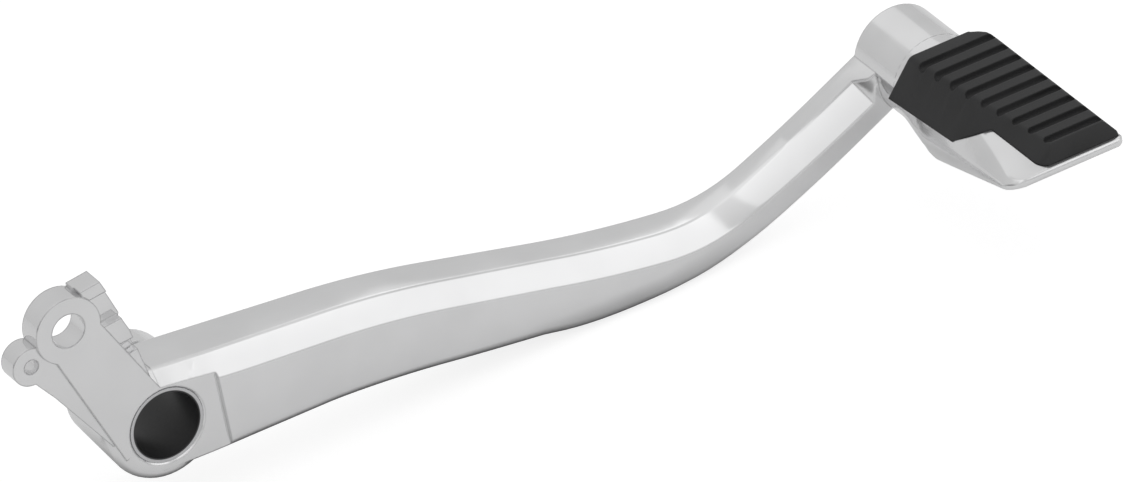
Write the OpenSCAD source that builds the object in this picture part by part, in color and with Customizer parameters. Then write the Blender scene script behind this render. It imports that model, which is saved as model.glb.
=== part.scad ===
// Motorcycle rear brake lever: a chromed casting that turns on the frame's pivot shaft, with a ribbed rubber pad.
// X points forward along the motorcycle, Z points up, and the outboard side, where the rider's foot is, is -Y.
// The origin is on the pivot axis, in the machined outer face of the pivot boss.

/* [Pivot] */
// Inside diameter of the sleeve bush, which turns on the frame's pivot shaft
pivot_bore = 16; // [14:0.5:17]
// Wall of the sleeve bush
bush_wall = 1; // [0.8:0.1:1.5]
// Depth of each end of the bush below the end of the boss
bush_recess = 0.3; // [0.2:0.1:0.6]
// Chamfer at both ends of the boss's bore
bore_chamfer = 0.5; // [0.3:0.1:0.8]
// Radius of the pivot boss behind its outer face
boss_r = 13.6; // [13:0.1:15]
// Radius of the pivot boss at its inner end
boss_inner_r = 12.8; // [12.3:0.1:13]
// Length of the pivot boss
boss_len = 23.4; // [22.8:0.2:28]
// Rounding of the boss's outer edge
boss_round = 3; // [1:0.5:3.5]

/* [Bracket] */
// Forward place of the clevis hole; it lies behind the pivot
eye_x = -19.5; // [-24:0.5:-17]
// Height of the clevis hole above the pivot
eye_z = 33.2; // [30:0.2:38]
// Diameter of the clevis hole
clevis_bore = 8.1; // [6:0.1:10]
// Radius of the eye round the clevis hole
eye_r = 8; // [7:0.5:9]
// Thickness of the bracket plate at the eye
plate_t = 6.3; // [5:0.1:8]
// Depth of the ear, the web and the stop lug below the face of the eye
web_step = 1; // [0.5:0.1:1.5]
// Forward place of the spring hole, behind the clevis hole
ear_dx = -9.6; // [-11:0.2:-9]
// Height of the spring hole, below the clevis hole
ear_dz = -5.6; // [-8:0.2:-4]
// Diameter of the spring hole
spring_bore = 3.5; // [2.5:0.1:4.5]
// Radius of the ear round the spring hole
ear_r = 4.6; // [4:0.1:5.5]
// Height of the stop lug above the pivot
lug_top = 41.6; // [41:0.2:44]
// Height of the lug's thick head
lug_head = 3; // [2:0.5:4]

/* [Arm] */
// Slope of the arm's top where it leaves the boss, in degrees
arm_pitch = -6.3; // [-9:0.2:-4]
// Length of the first straight of the arm, from above the pivot
root_len = 43; // [35:1:50]
// Length of the arc where the arm dips
dip_len = 31; // [25:1:40]
// Downward turn of the dip, in degrees
dip_turn = 8; // [4:0.5:10]
// Length of the straight between the dip and the lift
waist_len = 27; // [20:1:35]
// Length of the arc where the arm starts to lift
lift_len = 34; // [25:1:40]
// Upward turn of the lift, in degrees
lift_turn = 7.4; // [4:0.2:10]
// Length of the bend up to the pedal
bend_len = 21; // [18:1:30]
// Upward turn of the bend, in degrees
bend_turn = 29.3; // [20:0.1:35]
// Length of the slow arc after the bend
ease_len = 24; // [18:1:30]
// Upward turn of the slow arc, in degrees
ease_turn = 3.8; // [0:0.2:6]
// Length of the last straight, up to above the peg's axis
reach_len = 20.2; // [18:0.1:26]
// Width of the arm along its middle
waist_w = 14; // [12:0.5:15]
// Width of the arm at the peg
tip_w = 11; // [9.5:0.5:12]
// Height of the arm's top above the pivot's axis
root_top = 13; // [12.6:0.1:13.2]
// Height of the arm at the pivot
root_h = 25; // [23.6:0.2:26]
// Height of the arm where it dips
dip_h = 21.2; // [19:0.2:23]
// Height of the arm where it starts to lift
waist_h = 16.8; // [15:0.2:18.6]
// Height of the arm at the peg
tip_h = 11; // [10:0.2:13]
// Chamfer along the arm's upper outer edge
arm_chamfer = 4.7; // [3:0.1:5.2]
// Height that the arm's outer side stands out from the machined face
side_step = 1.1; // [0.5:0.1:1.5]
// Distance of that step from the pivot axis
step_x = 13.7; // [12.5:0.1:18]

/* [Peg and base] */
// Radius of the cross peg
peg_r = 10.85; // [10:0.05:12]
// Depth of the peg's axis below the line of the arm's top
peg_drop = 7; // [5:0.1:8]
// Length of the peg and base, from the arm's inner side to the outer rim
peg_len = 77.4; // [70:0.2:85]
// Thickness of the base's outer rim
rim_t = 1.8; // [1.8:0.1:3]
// Reach of the base's outer rim behind the peg's axis
rim_rear = 17.2; // [15:0.1:18]
// Reach of the base's outer rim ahead of the peg's axis
rim_front = 13.4; // [12:0.1:15]

/* [Rubber] */
// Height of the pad's top above the peg's axis
pad_top = 11.4; // [11:0.1:13]
// Thickness of the pad where it lies flat on the base
pad_t = 4; // [3.6:0.1:4.4]
// Number of grooves across the pad
groove_count = 9; // [5:1:10]
// Distance between two grooves
groove_pitch = 5.56; // [5:0.02:5.6]
// Radius of a groove's round bottom
groove_r = 1.35; // [1:0.05:1.6]
// Depth of a groove
groove_depth = 2; // [1:0.1:2.4]
// Radius of the stems that hold the pad to the base
stem_r = 3; // [2:0.1:3.5]

/* [Hidden] */

chrome = [0.80, 0.80, 0.81];
steel = [0.62, 0.62, 0.64];
rubber = [0.10, 0.10, 0.10];

// Inner side of the arm, and inner end of the peg, as a distance outboard of the machined face
arm_back = -16;
// Gap between a rubber stem and its hole
stem_gap = 0.1;
// How far a cutting shape reaches past what it cuts
over = 1;

bush_r = pivot_bore / 2 + bush_wall;

// Smooth step from 0 at a to 1 at b
function ease(v, a, b) =
    let (t = min(max((v - a) / (b - a), 0), 1))
    t * t * (3 - 2 * t);

function mix(a, b, t) = a + (b - a) * t;

// Straight line from p at a to q at b, held level past both ends
function ramp(v, a, b, p, q) = mix(p, q, min(max((v - a) / (b - a), 0), 1));

// Point and heading [x, z, degrees] after a straight or an arc from p
function ahead(p, len, turn) =
    turn == 0
    ? [p[0] + len * cos(p[2]), p[1] + len * sin(p[2]), p[2]]
    : let (r = len / (turn * PI / 180))
      [p[0] + r * (sin(p[2] + turn) - sin(p[2])), p[1] - r * (cos(p[2] + turn) - cos(p[2])), p[2] + turn];

// Point and heading at a distance along a list of [length, turn] pieces
function along(pieces, dist, p, i = 0) =
    dist <= pieces[i][0] || i == len(pieces) - 1
    ? ahead(p, dist, pieces[i][1] * dist / pieces[i][0])
    : along(pieces, dist - pieces[i][0], ahead(p, pieces[i][0], pieces[i][1]), i + 1);

// Outline with its corners rounded: each corner is [x, y, radius], and becomes an arc of the given steps. A corner
// with no radius stays one point.
function rounded(corners, steps) = [
    for (i = [0 : len(corners) - 1])
        let (
            n = len(corners),
            c = [corners[i][0], corners[i][1]],
            a = [corners[(i + n - 1) % n][0], corners[(i + n - 1) % n][1]] - c,
            b = [corners[(i + 1) % n][0], corners[(i + 1) % n][1]] - c,
            ua = a / norm(a),
            ub = b / norm(b),
            half = acos(ua * ub) / 2,
            mid = (ua + ub) / norm(ua + ub),
            r = corners[i][2],
            centre = c + mid * r / sin(half),
            from = atan2(-mid[1], -mid[0]),
            side = ua[0] * ub[1] - ua[1] * ub[0] > 0 ? -1 : 1,
            sweep = 90 - half
        )
        for (k = r > 0 ? [0 : steps] : [0 : 0])
            let (turned = from + side * sweep * (2 * k / steps - 1))
            r > 0 ? centre + r * [cos(turned), sin(turned)] : c
];

// Closed solid through rings of points, with as many points in each ring, going round the way from the first ring to
// the last like a right-handed screw
module skin(rings) {
    count = len(rings[0]);
    last = len(rings) - 1;
    sides = [
        for (i = [0 : last - 1], k = [0 : count - 1])
            let (a = i * count + k, b = i * count + (k + 1) % count)
            each [[b, a, a + count], [b, a + count, b + count]]
    ];
    polyhedron(
        points = [for (ring = rings) each ring],
        faces = concat([[for (k = [0 : count - 1]) k]], sides, [[for (k = [count - 1 : -1 : 0]) last * count + k]]),
        convexity = 6
    );
}

// Stands the side view up: drawn x stays forward, drawn y becomes height and drawn z points outboard
module side_view() {
    rotate([90, 0, 0]) children();
}

// Extrudes a drawn outline between two distances outboard
module slab(from, to) {
    translate([0, 0, from]) linear_extrude(height = to - from) children();
}

// Arm: its top line is a run of straights and arcs that starts above the pivot
arm_pieces = [
    [root_len, 0],
    [dip_len, -dip_turn],
    [waist_len, 0],
    [lift_len, lift_turn],
    [bend_len, bend_turn],
    [ease_len, ease_turn],
    [reach_len, 0]
];
arm_start = [0, root_top, arm_pitch];
dip_at = root_len;
waist_at = dip_at + dip_len;
lift_at = waist_at + waist_len;
bend_at = lift_at + lift_len;
ease_at = bend_at + bend_len;
arm_len = ease_at + ease_len + reach_len;

arm_end = along(arm_pieces, arm_len, arm_start);
peg_at = [arm_end[0] + peg_drop * sin(arm_end[2]), arm_end[1] - peg_drop * cos(arm_end[2])];

function arm_width(s) =
    mix(ramp(s, step_x, lift_at, side_step - arm_back, waist_w), tip_w, ease(s, bend_at - bend_len / 3, ease_at));

// Height of the arm: straight tapers, the middle one a little full, and then a smooth run down to the height at the peg
function arm_height(s) =
    let (t = (s - dip_at) / (lift_at - dip_at))
    t < 0 ? mix(root_h, dip_h, s / dip_at)
    : t < 1 ? mix(dip_h, waist_h, t) + arm_belly * sin(180 * t)
    : mix(waist_h, tip_h, ease(s, lift_at, tip_from));

arm_belly = 0.5;
tip_from = ease_at - 6;

// The chamfer runs out in a shoulder just short of the peg
shoulder_at = arm_len - peg_r - 1.5;
shoulder_len = 2.5;
edge_soft = 0.6;
lip_depth = 0.45;
root_ease = 0.8;
step_lean = 3;

// Section of the arm as [outboard, above the top line], going round from the inner edge of the chamfer
function arm_section(s) =
    let (
        w = arm_back + arm_width(s),
        h = arm_height(s),
        c = arm_chamfer * (1 - 0.85 * ease(s, shoulder_at, shoulder_at + shoulder_len)),
        drop = c - root_ease * (1 - ease(s, 0, dip_at / 2)),
        f = ease(s, ease_at - bend_len / 3, shoulder_at),
        lip = lip_depth * f,
        soft = mix(edge_soft, 0.05, f)
    )
    rounded([
        [w - c - soft, 0, 0],
        [w - c - 0.08 * soft * (1 - f), -0.19 * soft - lip, 0],
        [w - c + 0.7 * soft, -0.7 * soft - lip, 0],
        [w, -drop - lip, 1.2],
        [w, -h, ramp(s, 0, ease_at, 3.9, 1.8)],
        [arm_back, -h, 3],
        [arm_back, 0, 1]
    ], 5);

function arm_ring(s) =
    let (p = along(arm_pieces, s, arm_start))
    [for (q = arm_section(s)) [p[0] - q[1] * sin(p[2]), p[1] + q[1] * cos(p[2]), q[0]]];

arm_rings = 76;

module arm_bar() {
    difference() {
        skin([for (i = [0 : arm_rings]) arm_ring(arm_len * i / arm_rings)]);
        machined_face();
    }
}

// Milling cut that leaves the arm's outer side standing out as a step in front of the pivot
module machined_face() {
    translate([step_x, 0, 0])
        rotate([0, 0, step_lean])
            translate([-3 * boss_r, -2 * boss_r, 0])
                cube([3 * boss_r, 4 * boss_r, 2 * side_step]);
}

// Pivot boss, dressed level with the arm's top and chamfer where the two meet
module boss() {
    difference() {
        rotate_extrude($fn = 96)
            polygon(concat(
                [[0, -boss_len], [boss_inner_r - edge_round, -boss_len], [boss_inner_r, edge_round - boss_len]],
                [for (a = [0 : 15 : 90]) [boss_r - boss_round * (1 - cos(a)), -boss_round * (1 - sin(a))]],
                [[0, 0]]
            ));
        dressing();
    }
}

// Everything above a line just under the arm's top and chamfer, drawn as [inboard, above the top line]
module dressing() {
    fall = (arm_chamfer - root_ease) / arm_chamfer;
    under = 0.15;
    translate([arm_start[0], arm_start[1], 0])
        rotate([0, 0, arm_pitch])
            translate([-boss_r / 2, 0, 0])
                rotate([0, 90, 0])
                    linear_extrude(height = 2 * boss_r)
                        polygon([
                            [-arm_back, -under],
                            [arm_chamfer - side_step, -under],
                            [-side_step - over, -fall * (arm_chamfer + over) - under],
                            [-side_step - over, boss_round],
                            [-arm_back, boss_round]
                        ]);
}

// Bracket: the clevis eye and its stem, and behind them the layer with the ear, the web and the stop lug
eye_at = [eye_x, eye_z];
ear_at = eye_at + [ear_dx, ear_dz];
stem_left = [cos(202), sin(202)];
stem_right = [cos(28), sin(28)];
stem_half = 6.2;
stem_foot_left = 11.8;
stem_foot_right = 4.5;
lug_x = eye_x + 4;
lug_w = 5.4;
lug_slope = 0.13;
neck_top = eye_z - 3.4;
neck_depth = 3.3;
head_depth = 0.5;
lug_front = 3.8;
lug_fall = 8;
lug_flat_drop = 0.1;
ear_waist = [0.73 * ear_at[0] - 3.6, 0.65 * ear_at[1] - 0.2];
edge_round = 0.8;

module eye_plate() {
    slab(-plate_t, 0) {
        translate(eye_at) circle(r = eye_r, $fn = 72);
        polygon([
            eye_at + stem_half * stem_right,
            eye_at + stem_half * stem_left,
            stem_foot_left * stem_left,
            stem_foot_right * stem_right
        ]);
    }
}

module web_plate() {
    slab(-plate_t, -web_step) {
        translate(ear_at) circle(r = ear_r, $fn = 60);
        polygon([
            ear_at + [0.2, -ear_r + 0.1],
            ear_waist,
            [-boss_r + boss_round / 6, -0.2],
            [0, 0],
            [-1.6, boss_r - 1],
            [-3.5, 20.8],
            [-4.6, 26.3],
            [-6.2, neck_top + 0.5],
            [lug_x + 5, neck_top],
            eye_at,
            ear_at
        ]);
    }
}

// The stop lug is a thin neck above the web, with a thicker head whose top meets the pedal stop. The outboard part of
// the top slopes down.
module stop_lug() {
    difference() {
        stop_lug_blank();
        translate([lug_x - over, lug_top - lug_slope * lug_w - lug_flat_drop, -head_depth - lug_front])
            rotate([-lug_fall, 0, atan(lug_slope)])
                cube([2 * lug_w, lug_w, 2 * lug_front]);
    }
}

module stop_lug_blank() {
    slab(-plate_t, -neck_depth)
        polygon([
            [lug_x, lug_top - lug_slope * lug_w],
            [lug_x, neck_top - 1],
            [-6.2, neck_top - 1],
            [-5.6, neck_top + 0.6],
            [lug_x + lug_w + 2, lug_top - 4.5],
            [lug_x + lug_w, lug_top]
        ]);
    slab(-plate_t, -head_depth)
        polygon([
            [lug_x + 0.3, lug_top - lug_slope * (lug_w - 0.3)],
            [lug_x + 1.4, lug_top - lug_head - 0.6],
            [lug_x + lug_w + 1.2, lug_top - lug_head],
            [lug_x + lug_w, lug_top]
        ]);
}

// Small hollow where the web meets the boss, in front of the stem
module web_hollow() {
    slab(-plate_t / 2, over)
        polygon([[-8, 24], [-3.4, 24.4], [-2.2, 21.6], [-5.8, 20.8]]);
}

module bracket() {
    difference() {
        union() {
            web_plate();
            stop_lug();
        }
        difference() {
            web_hollow();
            eye_plate();
        }
    }
    eye_plate();
}

// Cross peg, and the boat-shaped base that its outer end flares into. Their sections are drawn round the peg's axis.
base_from = 0.5;
base_full = 17;
top_from = 8;
rim_at = arm_back + peg_len;
rim_top = pad_top - pad_t + 0.5;
rim_edge = 0.4;
corner_rear = 5;
corner_front = 2.2;
keel = -10.65;
octagon = tan(22.5);

// How far an edge draws in where a corner of radius r starts at d
function corner_in(d, r) = r - sqrt(max(0, r * r - min(r, max(0, d)) ^ 2));

// Corners [x, y, radius] of the peg's circle, of the base where it is fullest, and of its thin outer rim
peg_corners = let (r = peg_r - 0.02) [
    [-r, r, r],
    [-r, -octagon * r, r],
    [-octagon * r, -r, r],
    [r, -r, r],
    [r, r, r]
];
full_corners = [
    [-8.2, rim_top, 7],
    [-12.3, -4.5, 6.5],
    [-10.2, keel, 4.5],
    [11.8, keel, 8],
    [11.8, rim_top, 1.1]
];
rim_corners = [
    [1.4 - rim_rear, rim_top, 0.6],
    [-rim_rear, rim_top - rim_t / 2, 0.6],
    [1.3 - rim_rear, rim_top - rim_t, 0.8],
    [rim_front, rim_top - rim_t, 0.8],
    [rim_front, rim_top, 0.5]
];

// Section of the base at a distance outboard. Its top stays on the peg's circle until it is under the pad.
function base_section(out) =
    let (
        swell = ease(out, base_from, base_full),
        drop = ease(out, top_from, base_full),
        soften = min(1, 1.5 * swell),
        lift = ramp(out, base_full, rim_at, 0, 1),
        edge = rim_edge * ease(out, rim_at - rim_edge, rim_at),
        rear = corner_in(out - rim_at + corner_rear, corner_rear),
        front = corner_in(out - rim_at + corner_front, corner_front)
    )
    rounded([
        for (i = [0 : 4])
            let (
                p = peg_corners[i],
                q = full_corners[i],
                e = rim_corners[i],
                top = i == 0 || i == 4,
                late = i == 0 ? lift * lift : lift,
                from = top ? [p[0], p[1], p[2] - 1.6 * soften] : p,
                turned = [q[0], q[1], mix(p[2], q[2], soften)],
                c = top ? mix(from, q, drop) : [mix(p[0], q[0], swell), mix(p[1], q[1], swell), turned[2]]
            )
            [
                mix(c[0], e[0], late) + (i < 3 ? rear : -front),
                mix(c[1], e[1], lift) + (top ? -edge : i == 1 ? 0 : edge),
                mix(c[2], e[2], late) - edge / 2
            ]
    ], 8);

function base_ring(out) = [for (q = base_section(out)) [peg_at[0] + q[0], peg_at[1] + q[1], out]];

base_steps = 24;
corner_steps = 8;
base_stations = concat(
    [for (i = [0 : base_steps - 1]) mix(base_from, rim_at - corner_rear, i / base_steps)],
    [for (i = [0 : corner_steps]) rim_at - corner_rear * (1 - sin(90 * i / corner_steps))]
);

module peg() {
    translate([peg_at[0], peg_at[1], arm_back + edge_round])
        cylinder(h = base_from + over - arm_back - edge_round, r = peg_r, $fn = 96);
    translate([peg_at[0], peg_at[1], arm_back])
        cylinder(h = edge_round, r1 = peg_r - edge_round, r2 = peg_r, $fn = 96);
}

module base() {
    skin([for (out = base_stations) base_ring(out)]);
}

// Rubber pad: flat on the base, and wrapped down its rear flank as far as the notch
pad_from = 0.6;
pad_lean = 6.2;
pad_to = rim_at - 1.4;
pad_front = rim_front - 0.8;
pad_corner = 3;
pad_floor = pad_top - pad_t;
wrap_end = 28.5;
notch_end = 39;
flank_low = [-0.1, 1.8];
flank = 12.1;
flank_t = 1.6;
flank_root = -7.9;
pad_lap = 0.3;
pad_clear = 0.05;
pad_rear = 7.4;
pad_rear_top = [7.8, 3.2];
taper_from = 9;
taper_to = 56;

// Height of the pad's lower rear edge: down the flank first, then up the notch to just above the base's top
function pad_low(out) =
    mix(
        ramp(out, 0, wrap_end, flank_low[0], flank_low[1]),
        rim_top + pad_clear,
        ramp(out, wrap_end, notch_end, 0, 1)
    );

function pad_side(out) = ramp(out, wrap_end, notch_end, flank, pad_rear);

// Inner face of the flank, from its lower edge to the pad's floor
function pad_inside(out) = [
    [ramp(out, wrap_end, notch_end, flank_t - flank, pad_lap - pad_rear), pad_low(out)],
    [ramp(out, wrap_end, notch_end, flank_root, 1.5 * pad_lap - pad_rear), pad_floor]
];

// Section of the pad
function pad_section(out) =
    let (
        front = pad_front - corner_in(pad_from + pad_lean + pad_corner - out, pad_corner),
        rear = -corner_in(out - pad_to + pad_corner, pad_corner),
        in = pad_inside(out)
    )
    rounded([
        [front, pad_floor, 0],
        [front, pad_top - 2.6, 0.8],
        [front - 2, pad_top, 1.2],
        [-ramp(out, taper_from, taper_to, pad_rear_top[0], pad_rear_top[1]) - rear, pad_top, 1.5],
        [-pad_side(out) - rear, pad_low(out), 0],
        [in[0][0] - rear, in[0][1], 0],
        [in[1][0] - rear, in[1][1], 0]
    ], 3);

// Section of the room that the pad takes up in the base: the same inner faces, and open outwards
function room_section(out) =
    let (
        in = pad_inside(out),
        shift = [corner_in(out - pad_to + pad_corner, pad_corner), 0],
        side = -flank - over
    )
    [
        [pad_front + over, pad_floor],
        [pad_front + over, pad_top + over],
        [side, pad_top + over] + shift,
        [side, pad_low(out)] + shift,
        in[0] + shift,
        in[1] + shift
    ];

pad_stations = concat(
    [for (i = [0 : 8]) mix(0, pad_from + pad_lean + pad_corner, i / 8)],
    [for (i = [1 : 6]) mix(pad_from + pad_lean + pad_corner, wrap_end, i / 6)],
    [for (i = [1 : 4]) mix(wrap_end, notch_end, i / 4)],
    [for (i = [1 : 6]) mix(notch_end, pad_to - pad_corner, i / 6)],
    [for (i = [1 : 5]) pad_to - pad_corner * (1 - sin(90 * i / 5))],
    [rim_at]
);

// Keeps what lies between the pad's leaning inner end and its outer end
module between_ends() {
    intersection() {
        children();
        translate([peg_at[0] - 2 * peg_r, peg_at[1], 0])
            rotate([90, 0, 90])
                linear_extrude(height = 4 * peg_r)
                    polygon([
                        [-4, pad_from - 1],
                        [pad_top + 2 * over, pad_from + pad_lean],
                        [pad_top + 2 * over, pad_to - 4],
                        [pad_top - 1, pad_to - 1.6],
                        [pad_floor, pad_to],
                        [-4, pad_to]
                    ]);
    }
}

module pad_form() {
    between_ends()
        skin([for (out = pad_stations) [for (q = pad_section(out)) [peg_at[0] + q[0], peg_at[1] + q[1], out]]]);
}

module pad_room() {
    between_ends()
        skin([for (out = pad_stations) [for (q = room_section(out)) [peg_at[0] + q[0], peg_at[1] + q[1], out]]]);
}

stem_places = [30, 49];
stem_x = 0.8;
stem_head_r = stem_r + 1.4;
stem_web = 3;

// Places a shape drawn downwards from the pad's floor at each stem
module at_stems() {
    for (out = stem_places)
        translate([peg_at[0] + stem_x, peg_at[1] + pad_top - pad_t, out])
            rotate([90, 0, 0])
                children();
}

// Each stem passes a hole in the base, and its head spreads in the hollow below
module stem_holes() {
    at_stems() {
        translate([0, 0, -over]) cylinder(h = stem_web + 2 * over, r = stem_r + stem_gap, $fn = 48);
        translate([0, 0, stem_web]) cylinder(h = 2 * peg_r, r = stem_head_r + 1, $fn = 48);
    }
}

module stems() {
    at_stems() {
        translate([0, 0, -over]) cylinder(h = stem_web + over, r = stem_r, $fn = 48);
        translate([0, 0, stem_web]) cylinder(h = 2, r1 = stem_head_r, r2 = stem_r - 0.8, $fn = 48);
    }
}

// Grooves across the pad, shorter towards its outer end
groove_first = 11.1;
groove_front = 9.7;
groove_rear_first = 7.2;
groove_rear_last = 2.2;

module grooves() {
    for (i = [0 : groove_count - 1])
        let (
            rear = -mix(groove_rear_first, groove_rear_last, i / (groove_count - 1)),
            low = pad_top + groove_r - groove_depth
        )
        translate([peg_at[0], peg_at[1], groove_first + i * groove_pitch])
            hull()
                for (end = [[rear, low], [groove_front, low], [rear, pad_top + groove_r], [groove_front, pad_top + groove_r]])
                    translate(end) sphere(r = groove_r, $fn = 12);
}

module lever_arm() {
    color(chrome)
        side_view()
            difference() {
                union() {
                    boss();
                    arm_bar();
                    bracket();
                    peg();
                    base();
                }
                pad_room();
                bore_chamfers();
                stem_holes();
                translate([0, 0, -boss_len - over])
                    cylinder(h = boss_len + 2 * over, r = bush_r, $fn = 96);
                translate([eye_x, eye_z, -plate_t - over])
                    cylinder(h = plate_t + 2 * over, d = clevis_bore, $fn = 64);
                translate([ear_at[0], ear_at[1], -plate_t - over])
                    cylinder(h = plate_t + 2 * over, d = spring_bore, $fn = 48);
            }
}

module bore_chamfers() {
    for (end = [[over, 1], [-boss_len - over, -1]])
        translate([0, 0, end[0]])
            mirror([0, 0, end[1] > 0 ? 1 : 0])
                cylinder(h = over + bore_chamfer, r1 = bush_r + over + bore_chamfer, r2 = bush_r, $fn = 96);
}

module pivot_bush() {
    color(steel)
        side_view()
            difference() {
                translate([0, 0, bush_recess - boss_len])
                    cylinder(h = boss_len - 2 * bush_recess, r = bush_r, $fn = 96);
                translate([0, 0, -boss_len - over])
                    cylinder(h = boss_len + 2 * over, d = pivot_bore, $fn = 96);
            }
}

module pedal_rubber() {
    color(rubber)
        side_view() {
            difference() {
                pad_form();
                grooves();
            }
            stems();
        }
}

lever_arm();
pivot_bush();
pedal_rubber();
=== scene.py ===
import math

import bpy
from mathutils import Matrix, Vector


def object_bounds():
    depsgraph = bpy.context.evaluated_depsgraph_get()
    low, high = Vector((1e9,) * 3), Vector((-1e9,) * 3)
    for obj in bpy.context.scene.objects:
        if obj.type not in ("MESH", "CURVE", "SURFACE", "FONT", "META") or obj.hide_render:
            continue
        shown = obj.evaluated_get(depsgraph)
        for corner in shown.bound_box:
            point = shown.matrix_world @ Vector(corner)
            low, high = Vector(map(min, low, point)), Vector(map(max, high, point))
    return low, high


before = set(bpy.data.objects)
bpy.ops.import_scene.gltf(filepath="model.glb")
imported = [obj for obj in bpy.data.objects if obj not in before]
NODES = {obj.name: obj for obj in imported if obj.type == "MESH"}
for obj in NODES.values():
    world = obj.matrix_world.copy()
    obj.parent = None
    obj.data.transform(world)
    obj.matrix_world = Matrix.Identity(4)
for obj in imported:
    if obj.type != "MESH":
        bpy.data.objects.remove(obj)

cad_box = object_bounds()

MM = 0.001
WHITE = (1, 1, 1, 1)
NOISE_SPAN = (0.3, 0.7)


# Camera: the photograph's own, measured from the object's edges, with directions in the row frame
RIGHT = Vector((0.8537, -0.505, -0.1277)).normalized()
ABOUT_UP = Vector((0.3670, 0.409, 0.8354))
UP = (ABOUT_UP - RIGHT * ABOUT_UP.dot(RIGHT)).normalized()
TOWARDS = RIGHT.cross(UP).normalized()
PICTURE_CENTRE = Vector((88.6, -27.0, 22.85)) * MM
SHIFT_LEFT = 0.6 * MM
SHIFT_DOWN = 0.5 * MM
LOOK_AT = PICTURE_CENTRE - RIGHT * SHIFT_LEFT - UP * SHIFT_DOWN
LENS = 650.0
SENSOR = 36.0
DISTANCE = 4.41


def place_camera():
    data = bpy.data.cameras.new("camera")
    data.lens = LENS
    data.sensor_width = SENSOR
    data.clip_start = 0.1
    data.clip_end = 50.0
    camera = bpy.data.objects.new("camera", data)
    bpy.context.scene.collection.objects.link(camera)
    turn = Matrix((RIGHT, UP, TOWARDS)).transposed().to_4x4()
    camera.matrix_world = Matrix.Translation(LOOK_AT + TOWARDS * DISTANCE) @ turn
    bpy.context.scene.camera = camera


place_camera()


# Helpers for node trees
class Tree:
    """Adds nodes to a node tree and links them by socket."""

    def __init__(self, tree):
        self.tree = tree

    def add(self, kind, inputs=None, **settings):
        node = self.tree.nodes.new(kind)
        for key, value in settings.items():
            setattr(node, key, value)
        for key, value in (inputs or {}).items():
            self.feed(node.inputs[key], value)
        return node

    def feed(self, socket, value):
        """Links a socket to another node's output, or sets its own value."""
        if isinstance(value, bpy.types.NodeSocket):
            self.tree.links.new(value, socket)
        else:
            socket.default_value = value

    def times(self, a, b):
        return self.add("ShaderNodeMath", {0: a, 1: b}, operation="MULTIPLY").outputs[0]

    def spread(self, value, low, high, to_low, to_high):
        """Takes low..high to to_low..to_high in a straight line, and holds the ends."""
        ends = {"From Min": low, "From Max": high, "To Min": to_low, "To Max": to_high}
        return self.add("ShaderNodeMapRange", {"Value": value, **ends}).outputs["Result"]

    def band(self, value, rise, fall):
        """1 between two slopes and 0 outside them; each slope is a pair of places in metres."""
        return self.times(self.spread(value, *rise, 0.0, 1.0), self.spread(value, *fall, 1.0, 0.0))


class Finish(Tree):
    """A new material with its shader, and the textures that several finishes share."""

    def __init__(self, name):
        self.material = bpy.data.materials.new(name)
        self.material.use_nodes = True
        super().__init__(self.material.node_tree)
        self.shader = self.tree.nodes["Principled BSDF"]
        self.output = self.tree.nodes["Material Output"]
        self.place = self.add("ShaderNodeTexCoord").outputs["Object"]

    def set(self, name, value):
        self.feed(self.shader.inputs[name], value)

    def mix(self, factor, a, b):
        node = self.add("ShaderNodeMix", data_type="RGBA")
        self.feed(node.inputs[0], factor)
        self.feed(node.inputs[6], a)
        self.feed(node.inputs[7], b)
        return node.outputs[2]

    def noise(self, scale, detail):
        inputs = {"Vector": self.place, "Scale": scale, "Detail": detail}
        return self.add("ShaderNodeTexNoise", inputs).outputs["Fac"]

    def rounded(self, radius):
        """The surface's direction with its edges eased."""
        return self.add("ShaderNodeBevel", {"Radius": radius}, samples=6).outputs["Normal"]

    def bump(self, height, strength, distance, normal=None):
        inputs = {"Strength": strength, "Distance": distance, "Height": height}
        if normal is not None:
            inputs["Normal"] = normal
        return self.add("ShaderNodeBump", inputs).outputs["Normal"]


# Plate on the casting
PLATE_DARKER = (0.80, 0.80, 0.805, 1)
PLATE_PALER = (0.84, 0.84, 0.845, 1)
# Painted shade: the dark colour mixed into the plate along eased edges and creases
PLATE_PAINTED_EDGE_SHADE = (0.30, 0.30, 0.305, 1)
PLATE_EDGE_RADIUS = 0.6 * MM
PLATE_EDGE_SHADE_SHARE = 0.55
PLATE_ROUGHNESS = (0.12, 0.18)
# Cosines of the turn at eased edges, between which the painted shade along eased edges comes in
PLATE_EDGE_SHADE_TURN = (0.99, 0.86)
PLATE_WAVE_DEPTH = 0.4 * MM
PLATE_SAND_DEPTH = 0.04 * MM


def chrome_material():
    """Polished plate on a casting: slight waves, a fine haze, and painted shade along eased edges and
    creases.
    """
    t = Finish("chrome_plate")
    sand = t.noise(scale=900.0, detail=3.0)
    haze = t.noise(scale=60.0, detail=4.0)
    wave = t.noise(scale=110.0, detail=1.0)
    soft = t.rounded(PLATE_EDGE_RADIUS)
    flat = t.add("ShaderNodeNewGeometry").outputs["True Normal"]
    agree = t.add("ShaderNodeVectorMath", {0: soft, 1: flat}, operation="DOT_PRODUCT").outputs["Value"]
    painted_edge_shade = t.spread(agree, *PLATE_EDGE_SHADE_TURN, 0.0, PLATE_EDGE_SHADE_SHARE)
    tint = t.mix(t.spread(haze, 0.35, 0.65, 0.0, 1.0), PLATE_DARKER, PLATE_PALER)
    # Painted shade: the plate darkens along eased edges and creases, found from the turn between eased and
    # true surface directions
    t.set("Base Color", t.mix(painted_edge_shade, tint, PLATE_PAINTED_EDGE_SHADE))
    t.set("Metallic", 1.0)
    t.set("Roughness", t.spread(haze, *NOISE_SPAN, *PLATE_ROUGHNESS))
    ripple = t.bump(wave, strength=0.10, distance=PLATE_WAVE_DEPTH, normal=soft)
    t.set("Normal", t.bump(sand, strength=0.06, distance=PLATE_SAND_DEPTH, normal=ripple))
    return t.material


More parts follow.
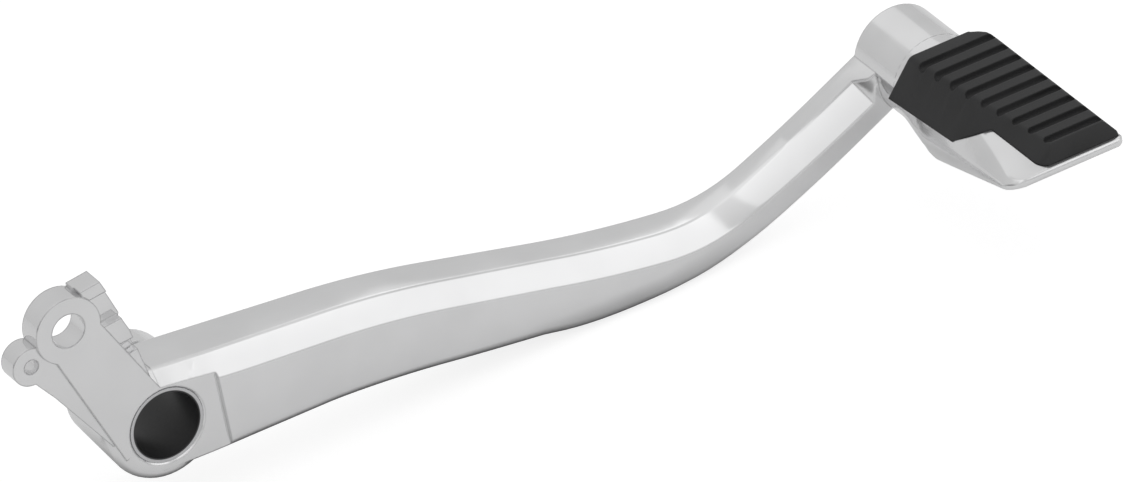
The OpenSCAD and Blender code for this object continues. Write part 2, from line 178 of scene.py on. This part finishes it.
# Sleeve bush: radii from the pivot axis, between which the lining's colour turns into the steel's
LINING_ENDS = 8.25 * MM
STEEL_STARTS = 8.4 * MM
LINING_DARKER = (0.012, 0.012, 0.013, 1)
LINING_PALER = (0.030, 0.030, 0.031, 1)
BUSH_STEEL = (0.62, 0.62, 0.63, 1)
LINING_ROUGHNESS = 0.38
STEEL_ROUGHNESS = 0.25
BUSH_GRAIN_DEPTH = 0.03 * MM


def bush_material():
    """Rolled steel outside and on its ends, with a dark low-friction lining inside."""
    t = Finish("bush_steel")
    split = t.add("ShaderNodeSeparateXYZ", {"Vector": t.place}).outputs
    from_axis = t.add("ShaderNodeCombineXYZ", {"X": split["X"], "Z": split["Z"]}).outputs[0]
    radius = t.add("ShaderNodeVectorMath", {0: from_axis}, operation="LENGTH").outputs["Value"]
    steel = t.spread(radius, LINING_ENDS, STEEL_STARTS, 0.0, 1.0)
    grain = t.noise(scale=1500.0, detail=2.0)
    lining = t.mix(grain, LINING_DARKER, LINING_PALER)
    t.set("Base Color", t.mix(steel, lining, BUSH_STEEL))
    t.set("Metallic", steel)
    t.set("Roughness", t.spread(steel, 0.0, 1.0, LINING_ROUGHNESS, STEEL_ROUGHNESS))
    t.set("Normal", t.bump(grain, strength=0.1, distance=BUSH_GRAIN_DEPTH))
    return t.material


# Rubber pad
RUBBER_DARKER = (0.024, 0.024, 0.0245, 1)
RUBBER_PALER = (0.034, 0.034, 0.035, 1)
RUBBER_ROUGHNESS = (0.46, 0.60)
RUBBER_SHINE = 0.30
RUBBER_EDGE_RADIUS = 0.5 * MM
RUBBER_GRAIN_DEPTH = 0.08 * MM


def rubber_material():
    """Black rubber with a fine grain, in slightly uneven patches."""
    t = Finish("pad_rubber")
    grain = t.noise(scale=2200.0, detail=4.0)
    patch = t.noise(scale=90.0, detail=5.0)
    soft = t.rounded(RUBBER_EDGE_RADIUS)
    t.set("Base Color", t.mix(t.spread(patch, *NOISE_SPAN, 0.0, 1.0), RUBBER_DARKER, RUBBER_PALER))
    t.set("Roughness", t.spread(patch, *NOISE_SPAN, *RUBBER_ROUGHNESS))
    t.set("Specular IOR Level", RUBBER_SHINE)
    t.set("Normal", t.bump(grain, strength=0.35, distance=RUBBER_GRAIN_DEPTH, normal=soft))
    return t.material


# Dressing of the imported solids
SHARP_FROM = math.radians(32)
WELD_DISTANCE = 0.002 * MM


def shading_group(name):
    """Geometry nodes that shade a mesh smooth, except across edges that turn by SHARP_FROM or more."""
    group = bpy.data.node_groups.new(name, "GeometryNodeTree")
    for way in ("INPUT", "OUTPUT"):
        group.interface.new_socket("Geometry", in_out=way, socket_type="NodeSocketGeometry")
    make = group.nodes.new
    first = make("NodeGroupInput")
    last = make("NodeGroupOutput")
    faces = make("GeometryNodeSetShadeSmooth")
    faces.domain = "FACE"
    edges = make("GeometryNodeSetShadeSmooth")
    edges.domain = "EDGE"
    turn = make("GeometryNodeInputMeshEdgeAngle")
    below = make("FunctionNodeCompare")
    below.data_type = "FLOAT"
    below.operation = "LESS_THAN"
    below.inputs[1].default_value = SHARP_FROM
    join = group.links.new
    join(first.outputs[0], faces.inputs["Geometry"])
    join(faces.outputs[0], edges.inputs["Geometry"])
    join(turn.outputs["Unsigned Angle"], below.inputs[0])
    join(below.outputs[0], edges.inputs["Shade Smooth"])
    join(edges.outputs[0], last.inputs[0])
    return group


def dress(node, material):
    """Gives a CAD node its material and its shading."""
    obj = NODES[node]
    obj.data.materials.clear()
    obj.data.materials.append(material)
    weld = obj.modifiers.new("weld", "WELD")
    weld.merge_threshold = WELD_DISTANCE
    shading = obj.modifiers.new("shading", "NODES")
    shading.node_group = shading_group(node + "_shading")


dress("lever_arm", chrome_material())
dress("pivot_bush", bush_material())
dress("pedal_rubber", rubber_material())


# Floor: white to the camera where nothing shades it; the chrome sees it light grey, with a painted shadow
# beneath the arm
FLOOR_GAP = 0.5 * MM
FLOOR_REACH = 6.0
FLOOR_TO_CHROME = (0.88, 0.88, 0.88, 1)
# Painted shadow: the dark floor colour beneath the arm, which only the chrome's reflections see
FLOOR_PAINTED_SHADOW = (0.25, 0.25, 0.25, 1)
FLOOR_TO_CAMERA = (0.34, 0.34, 0.34, 1)
FLOOR_GLOW = 0.80
# The painted shadow patch lies beneath the arm: where it rises and where it falls, in metres
SHADOW_PATCH_ACROSS = ((-0.006, 0.004), (0.020, 0.045))
SHADOW_PATCH_ALONG = ((-0.030, 0.000), (0.120, 0.160))


def floor_material():
    """Rays from the camera get a diffuse grey plus a glow; all others get a plain floor with a painted shadow
    patch beneath the arm.
    """
    t = Finish("floor")
    split = t.add("ShaderNodeSeparateXYZ", {"Vector": t.place}).outputs
    painted_shadow = t.times(t.band(split["Y"], *SHADOW_PATCH_ACROSS), t.band(split["X"], *SHADOW_PATCH_ALONG))
    # Painted shadow: the floor's colour darkens in a patch beneath the arm
    t.set("Base Color", t.mix(painted_shadow, FLOOR_TO_CHROME, FLOOR_PAINTED_SHADOW))
    t.set("Roughness", 0.9)
    t.set("Specular IOR Level", 0.0)
    from_camera = t.add("ShaderNodeLightPath").outputs["Is Camera Ray"]
    pale = t.add("ShaderNodeBsdfDiffuse", {"Color": FLOOR_TO_CAMERA}).outputs[0]
    glow = t.add("ShaderNodeEmission", {"Color": WHITE, "Strength": FLOOR_GLOW}).outputs[0]
    seen = t.add("ShaderNodeAddShader", {0: pale, 1: glow}).outputs[0]
    both = t.add("ShaderNodeMixShader", {0: from_camera, 1: t.shader.outputs[0], 2: seen}).outputs[0]
    t.feed(t.output.inputs["Surface"], both)
    return t.material


def lay_floor():
    level = cad_box[0][2] - FLOOR_GAP
    corners = ((-1, -1), (1, -1), (1, 1), (-1, 1))
    mesh = bpy.data.meshes.new("floor")
    mesh.from_pydata([(x * FLOOR_REACH, y * FLOOR_REACH, level) for x, y in corners], [], [(0, 1, 2, 3)])
    mesh.materials.append(floor_material())
    plane = bpy.data.objects.new("floor", mesh)
    bpy.context.scene.collection.objects.link(plane)
    return plane


floor = lay_floor()


# Lights: two large soft panels, a small one for the lug, and a stack of four, each narrower, for the peg
LEVER_CENTRE = Vector((100, -10, 0)) * MM
PEG_CENTRE = Vector((200, 4, 14)) * MM
PANEL_DISTANCE = 1.2
PEG_PANEL_DISTANCE = 0.15
PEG_PANEL_HEIGHT = 0.06
PEG_PANEL_WIDTHS = (0.115, 0.090, 0.065, 0.040)
PEG_PANEL_DIRECTION = (0.08, 0.76, 0.66)
PEG_PANEL_RADIANCE = 0.16


def softbox(name, direction, size, radiance, distance=PANEL_DISTANCE, aim=LEVER_CENTRE, upwards=(0, 0, 1)):
    """A rectangular panel of size width and height that faces a point and adds its radiance to the tent's."""
    width, height = size
    data = bpy.data.lights.new(name, "AREA")
    data.shape = "RECTANGLE"
    data.size = width
    data.size_y = height
    data.energy = radiance * math.pi * width * height
    panel = bpy.data.objects.new(name, data)
    bpy.context.scene.collection.objects.link(panel)
    direction = Vector(direction).normalized()
    side = Vector(upwards).cross(direction).normalized()
    turn = Matrix((side, direction.cross(side), direction)).transposed().to_4x4()
    panel.matrix_world = Matrix.Translation(aim + direction * distance) @ turn


softbox("panel_front", (0.71, -0.41, 0.57), (0.86, 1.1), 0.41, upwards=(0.10, 0.85, 0.50))
softbox("panel_pedal", (-0.22, -0.64, 0.73), (0.74, 1.1), 0.25, upwards=(0.30, 0.75, 0.60))
softbox("panel_lug", (0.53, 0.57, 0.63), (0.26, 0.26), 0.40)
for i, peg_width in enumerate(PEG_PANEL_WIDTHS):
    peg_size = (peg_width, PEG_PANEL_HEIGHT)
    name = "panel_peg_%d" % i
    softbox(name, PEG_PANEL_DIRECTION, peg_size, PEG_PANEL_RADIANCE, PEG_PANEL_DISTANCE, PEG_CENTRE)


# Tent: the world as the object sees it, brighter overhead and dimmer towards -X; the camera sees it white.
# Its greys go by height, from 0 at the horizon to 1 overhead.
TENT_BY_HEIGHT = ((0.0, 0.60), (0.72, 0.65), (1.0, 0.95))
TENT_REAR = (-0.98, -0.78)
TENT_REAR_SHARE = 0.28


def hang_tent():
    world = bpy.data.worlds.new("world")
    bpy.context.scene.world = world
    world.use_nodes = True
    t = Tree(world.node_tree)
    background = t.tree.nodes["Background"]
    direction = t.add("ShaderNodeTexCoord").outputs["Generated"]
    split = t.add("ShaderNodeSeparateXYZ", {0: direction}).outputs
    ramp = t.add("ShaderNodeValToRGB", {0: split["Z"]})
    stops = ramp.color_ramp.elements
    stops.new(TENT_BY_HEIGHT[-1][0])
    for stop, (height, grey) in zip(stops, TENT_BY_HEIGHT):
        stop.position = height
        stop.color = (grey, grey, grey, 1)
    rear = t.spread(split["X"], *TENT_REAR, TENT_REAR_SHARE, 1.0)
    tent = t.add("ShaderNodeVectorMath", {0: ramp.outputs[0], "Scale": rear}, operation="SCALE").outputs[0]
    t.feed(background.inputs["Color"], tent)
    from_camera = t.add("ShaderNodeLightPath").outputs["Is Camera Ray"]
    white = t.add("ShaderNodeBackground", {"Color": WHITE}).outputs[0]
    both = t.add("ShaderNodeMixShader", {0: from_camera, 1: background.outputs[0], 2: white}).outputs[0]
    t.feed(t.tree.nodes["World Output"].inputs["Surface"], both)


hang_tent()

bpy.context.scene.view_settings.view_transform = "Standard"
